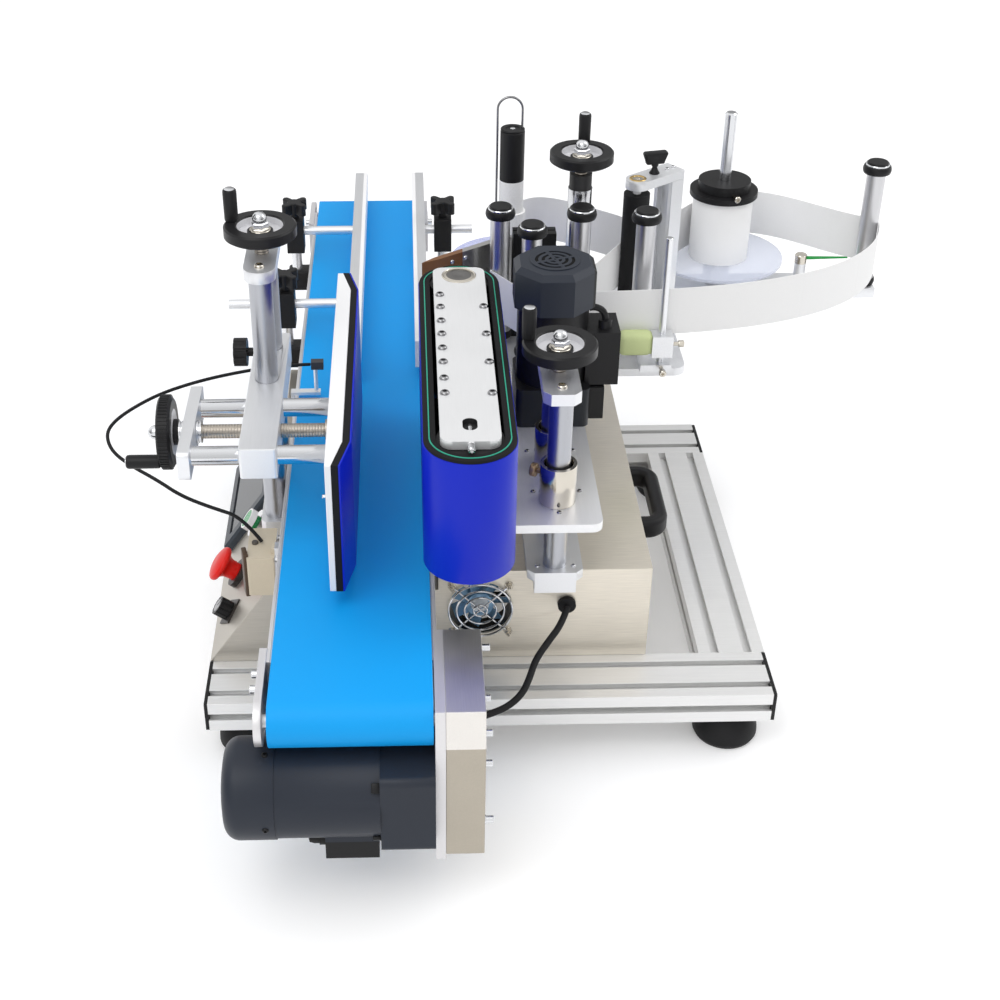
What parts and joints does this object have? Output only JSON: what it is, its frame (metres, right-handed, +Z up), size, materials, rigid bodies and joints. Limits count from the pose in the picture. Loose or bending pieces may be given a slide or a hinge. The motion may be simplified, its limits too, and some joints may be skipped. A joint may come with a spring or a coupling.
{
  "type": "bottle labelling machine",
  "caption": "Bench-top wrap-around bottle labelling machine: belt conveyor with a pressing pad, driven side belt and label unwinding head on hand-wheel lifts over a slotted base frame.",
  "frame": {"origin": "on the floor under the middle of the machine's outline", "axes": "+Z up, +Y along the conveyor the way the bottles travel, +X from the control panel to the label roll"},
  "size_m": [0.764, 1.0079, 0.4562],
  "materials": {
    "anodised_beam": "satin anodised",
    "machined_aluminium": "fine brushed",
    "stainless_sheet": "brushed",
    "chrome_rod": "polished",
    "black_plastic": "fine grain",
    "black_rubber": "matte",
    "screen_plastic": "slate with glossy glass",
    "green_plastic": "gloss",
    "red_plastic": "gloss",
    "beige_plastic": "satin",
    "azure_belt": "fine weave",
    "blue_foam_belt": "smooth skin",
    "slate_paint": "satin paint",
    "white_plastic": "satin",
    "blue_face_foam": "foam with a blue skin",
    "clear_disc": "frosted",
    "paper": "smooth paper",
    "nickel": "plated",
    "brass_bush": "turned",
    "green_strap": "woven",
    "brown_plastic": "satin"
  },
  "bodies": {
    "base": {"base_beams": "anodised_beam", "beam_end_caps": "black_plastic", "rubber_feet": "black_rubber", "housing": "stainless_sheet", "screen_bezel": "screen_plastic", "control_collars": "black_plastic", "photo_sensor": "beige_plastic", "fan_frame": "black_plastic", "cable_grommet": "black_rubber", "pull_handle": "black_plastic", "conveyor_frame": "machined_aluminium", "conveyor_belt": "azure_belt", "timing_belt": "black_rubber", "drive_cover": "stainless_sheet", "conveyor_motor": "slate_paint", "lift_posts": "chrome_rod", "lift_brackets": "machined_aluminium", "rail_clamps": "black_plastic", "fibre_cable": "black_rubber", "motor_cable": "black_rubber"},
    "drive_roller": {"drive_roller": "machined_aluminium"},
    "tail_roller": {"tail_roller": "machined_aluminium"},
    "motor_pulley": {"motor_pulley": "chrome_rod"},
    "fan_rotor": {"fan_rotor": "black_plastic"},
    "start_button": {"start_button": "green_plastic"},
    "stop_button": {"stop_button": "red_plastic"},
    "speed_dial": {"speed_dial": "black_plastic"},
    "side_carriage": {"carriage_plate": "machined_aluminium", "side_motor": "slate_paint", "belt_plates": "machined_aluminium", "side_belt": "blue_foam_belt"},
    "side_drive_roller": {"side_drive_roller": "machined_aluminium"},
    "side_idler_roller": {"side_idler_roller": "machined_aluminium"},
    "right_hand_wheel": {"right_hand_wheel": "black_plastic"},
    "pad_carriage": {"pad_block": "machined_aluminium"},
    "pad_knob": {"pad_knob": "black_plastic"},
    "pad_slide": {"pad_rods": "chrome_rod", "pad_plate": "white_plastic", "pad_foam": "blue_face_foam"},
    "feed_hand_wheel": {"feed_hand_wheel": "black_plastic"},
    "left_hand_wheel": {"left_hand_wheel": "black_plastic"},
    "left_guide_rail": {"left_guide_rail": "machined_aluminium"},
    "right_guide_rail": {"right_guide_rail": "machined_aluminium"},
    "clamp_knob_1": {"clamp_knob_1": "black_plastic"},
    "clamp_knob_2": {"clamp_knob_2": "black_plastic"},
    "clamp_knob_3": {"clamp_knob_3": "black_plastic"},
    "label_head": {"label_base": "machined_aluminium", "label_eye": "black_plastic", "peel_plate": "stainless_sheet", "label_web": "paper"},
    "guide_roller_a": {"guide_roller_a": "chrome_rod"},
    "guide_roller_b": {"guide_roller_b": "chrome_rod"},
    "guide_roller_c": {"guide_roller_c": "chrome_rod"},
    "guide_roller_d": {"guide_roller_d": "chrome_rod"},
    "guide_roller_e": {"guide_roller_e": "chrome_rod"},
    "unwinder": {"unwind_disc": "clear_disc", "unwind_core": "white_plastic"},
    "rewinder": {"rewinder": "black_plastic"},
    "feed_roller": {"feed_roller": "black_rubber"},
    "label_hand_wheel": {"label_hand_wheel": "black_plastic"}
  },
  "joints": [
    {"name": "drive_roller_spin", "type": "hinge", "parent": "base", "child": "drive_roller", "pos_m": [-0.174, -0.464, 0.175], "axis": [1, 0, 0], "continuous": true},
    {"name": "tail_roller_spin", "type": "hinge", "parent": "base", "child": "tail_roller", "pos_m": [-0.174, 0.484, 0.175], "axis": [1, 0, 0], "continuous": true},
    {"name": "motor_pulley_spin", "type": "hinge", "parent": "base", "child": "motor_pulley", "pos_m": [-0.1, -0.464, 0.108], "axis": [1, 0, 0], "continuous": true},
    {"name": "fan_rotor_spin", "type": "hinge", "parent": "base", "child": "fan_rotor", "pos_m": [-0.067, -0.254, 0.12], "axis": [0, 1, 0], "continuous": true},
    {"name": "start_button_press", "type": "slide", "parent": "base", "child": "start_button", "axis": [0.8152, 0, -0.5792], "range_m": [0, 0.003], "stiffness_N_per_m": 400, "springref_m": -0.002},
    {"name": "stop_button_press", "type": "slide", "parent": "base", "child": "stop_button", "axis": [0.8152, 0, -0.5792], "range_m": [0, 0.004], "stiffness_N_per_m": 800, "springref_m": -0.002},
    {"name": "speed_dial_turn", "type": "hinge", "parent": "base", "child": "speed_dial", "pos_m": [-0.29278, -0.213, 0.08783], "axis": [-0.8152, 0, 0.5792], "range_deg": [-150, 150]},
    {"name": "side_carriage_lift", "type": "slide", "parent": "base", "child": "side_carriage", "axis": [0, 0, 1], "range_m": [-0.035, 0.045]},
    {"name": "right_hand_wheel_turn", "type": "hinge", "parent": "base", "child": "right_hand_wheel", "pos_m": [-0.0035, -0.227, 0.3425], "axis": [0, 0, 1], "range_deg": [-2522, 3242]},
    {"name": "side_drive_roller_spin", "type": "hinge", "parent": "side_carriage", "child": "side_drive_roller", "pos_m": [-0.0812, -0.081, 0.234], "axis": [0, 0, 1], "continuous": true},
    {"name": "side_idler_roller_spin", "type": "hinge", "parent": "side_carriage", "child": "side_idler_roller", "pos_m": [-0.0812, -0.35, 0.234], "axis": [0, 0, 1], "continuous": true},
    {"name": "pad_carriage_lift", "type": "slide", "parent": "base", "child": "pad_carriage", "axis": [0, 0, 1], "range_m": [-0.012, 0.06]},
    {"name": "left_hand_wheel_turn", "type": "hinge", "parent": "base", "child": "left_hand_wheel", "pos_m": [-0.2507, -0.123, 0.403], "axis": [0, 0, 1], "range_deg": [-866, 4322]},
    {"name": "pad_knob_turn", "type": "hinge", "parent": "pad_carriage", "child": "pad_knob", "pos_m": [-0.2662, -0.081, 0.285], "axis": [1, 0, 0], "range_deg": [-180, 180]},
    {"name": "pad_slide_feed", "type": "slide", "parent": "pad_carriage", "child": "pad_slide", "axis": [1, 0, 0], "range_m": [-0.01, 0.035]},
    {"name": "feed_hand_wheel_turn", "type": "hinge", "parent": "pad_slide", "child": "feed_hand_wheel", "pos_m": [-0.306, -0.2175, 0.282], "axis": [1, 0, 0], "range_deg": [-722, 2522]},
    {"name": "left_guide_adjust", "type": "slide", "parent": "base", "child": "left_guide_rail", "axis": [1, 0, 0], "range_m": [-0.015, 0.015]},
    {"name": "right_guide_adjust", "type": "slide", "parent": "base", "child": "right_guide_rail", "axis": [1, 0, 0], "range_m": [-0.01, 0.01]},
    {"name": "clamp_knob_1_turn", "type": "hinge", "parent": "base", "child": "clamp_knob_1", "pos_m": [-0.256, 0.145, 0.2385], "axis": [0, 0, 1], "range_deg": [-180, 180]},
    {"name": "clamp_knob_2_turn", "type": "hinge", "parent": "base", "child": "clamp_knob_2", "pos_m": [-0.256, 0.335, 0.2385], "axis": [0, 0, 1], "range_deg": [-180, 180]},
    {"name": "clamp_knob_3_turn", "type": "hinge", "parent": "base", "child": "clamp_knob_3", "pos_m": [-0.086, 0.335, 0.2385], "axis": [0, 0, 1], "range_deg": [-180, 180]},
    {"name": "label_head_lift", "type": "slide", "parent": "base", "child": "label_head", "axis": [0, 0, 1], "range_m": [-0.012, 0.04]},
    {"name": "label_hand_wheel_turn", "type": "hinge", "parent": "label_head", "child": "label_hand_wheel", "pos_m": [0.043, 0.087, 0.388], "axis": [0, 0, 1], "range_deg": [-866, 2882]},
    {"name": "guide_roller_a_spin", "type": "hinge", "parent": "label_head", "child": "guide_roller_a", "pos_m": [-0.0374, 0.0421, 0.23], "axis": [0, 0, 1], "continuous": true},
    {"name": "guide_roller_b_spin", "type": "hinge", "parent": "label_head", "child": "guide_roller_b", "pos_m": [-0.01, -0.0012, 0.23], "axis": [0, 0, 1], "continuous": true},
    {"name": "guide_roller_c_spin", "type": "hinge", "parent": "label_head", "child": "guide_roller_c", "pos_m": [0.0401, 0.038, 0.23], "axis": [0, 0, 1], "continuous": true},
    {"name": "guide_roller_d_spin", "type": "hinge", "parent": "label_head", "child": "guide_roller_d", "pos_m": [0.1011, 0.028, 0.23], "axis": [0, 0, 1], "continuous": true},
    {"name": "guide_roller_e_spin", "type": "hinge", "parent": "label_head", "child": "guide_roller_e", "pos_m": [0.351, 0.145, 0.23], "axis": [0, 0, 1], "continuous": true},
    {"name": "unwinder_spin", "type": "hinge", "parent": "label_head", "child": "unwinder", "pos_m": [0.203, 0.175, 0.23], "axis": [0, 0, 1], "continuous": true},
    {"name": "rewinder_spin", "type": "hinge", "parent": "label_head", "child": "rewinder", "pos_m": [-0.019, 0.165, 0.23], "axis": [0, 0, 1], "continuous": true},
    {"name": "feed_roller_spin", "type": "hinge", "parent": "label_head", "child": "feed_roller", "pos_m": [0.101, 0.1, 0.23], "axis": [0, 0, 1], "continuous": true}
  ],
  "couplings": [
    {"joint": "tail_roller_spin", "follows": "drive_roller_spin", "ratio": 1},
    {"joint": "motor_pulley_spin", "follows": "drive_roller_spin", "ratio": 1},
    {"joint": "side_idler_roller_spin", "follows": "side_drive_roller_spin", "ratio": 1},
    {"joint": "right_hand_wheel_turn", "follows": "side_carriage_lift", "rad_per_m": 1256.6},
    {"joint": "left_hand_wheel_turn", "follows": "pad_carriage_lift", "rad_per_m": 1256.6},
    {"joint": "feed_hand_wheel_turn", "follows": "pad_slide_feed", "rad_per_m": 1256.6},
    {"joint": "label_hand_wheel_turn", "follows": "label_head_lift", "rad_per_m": 1256.6}
  ]
}
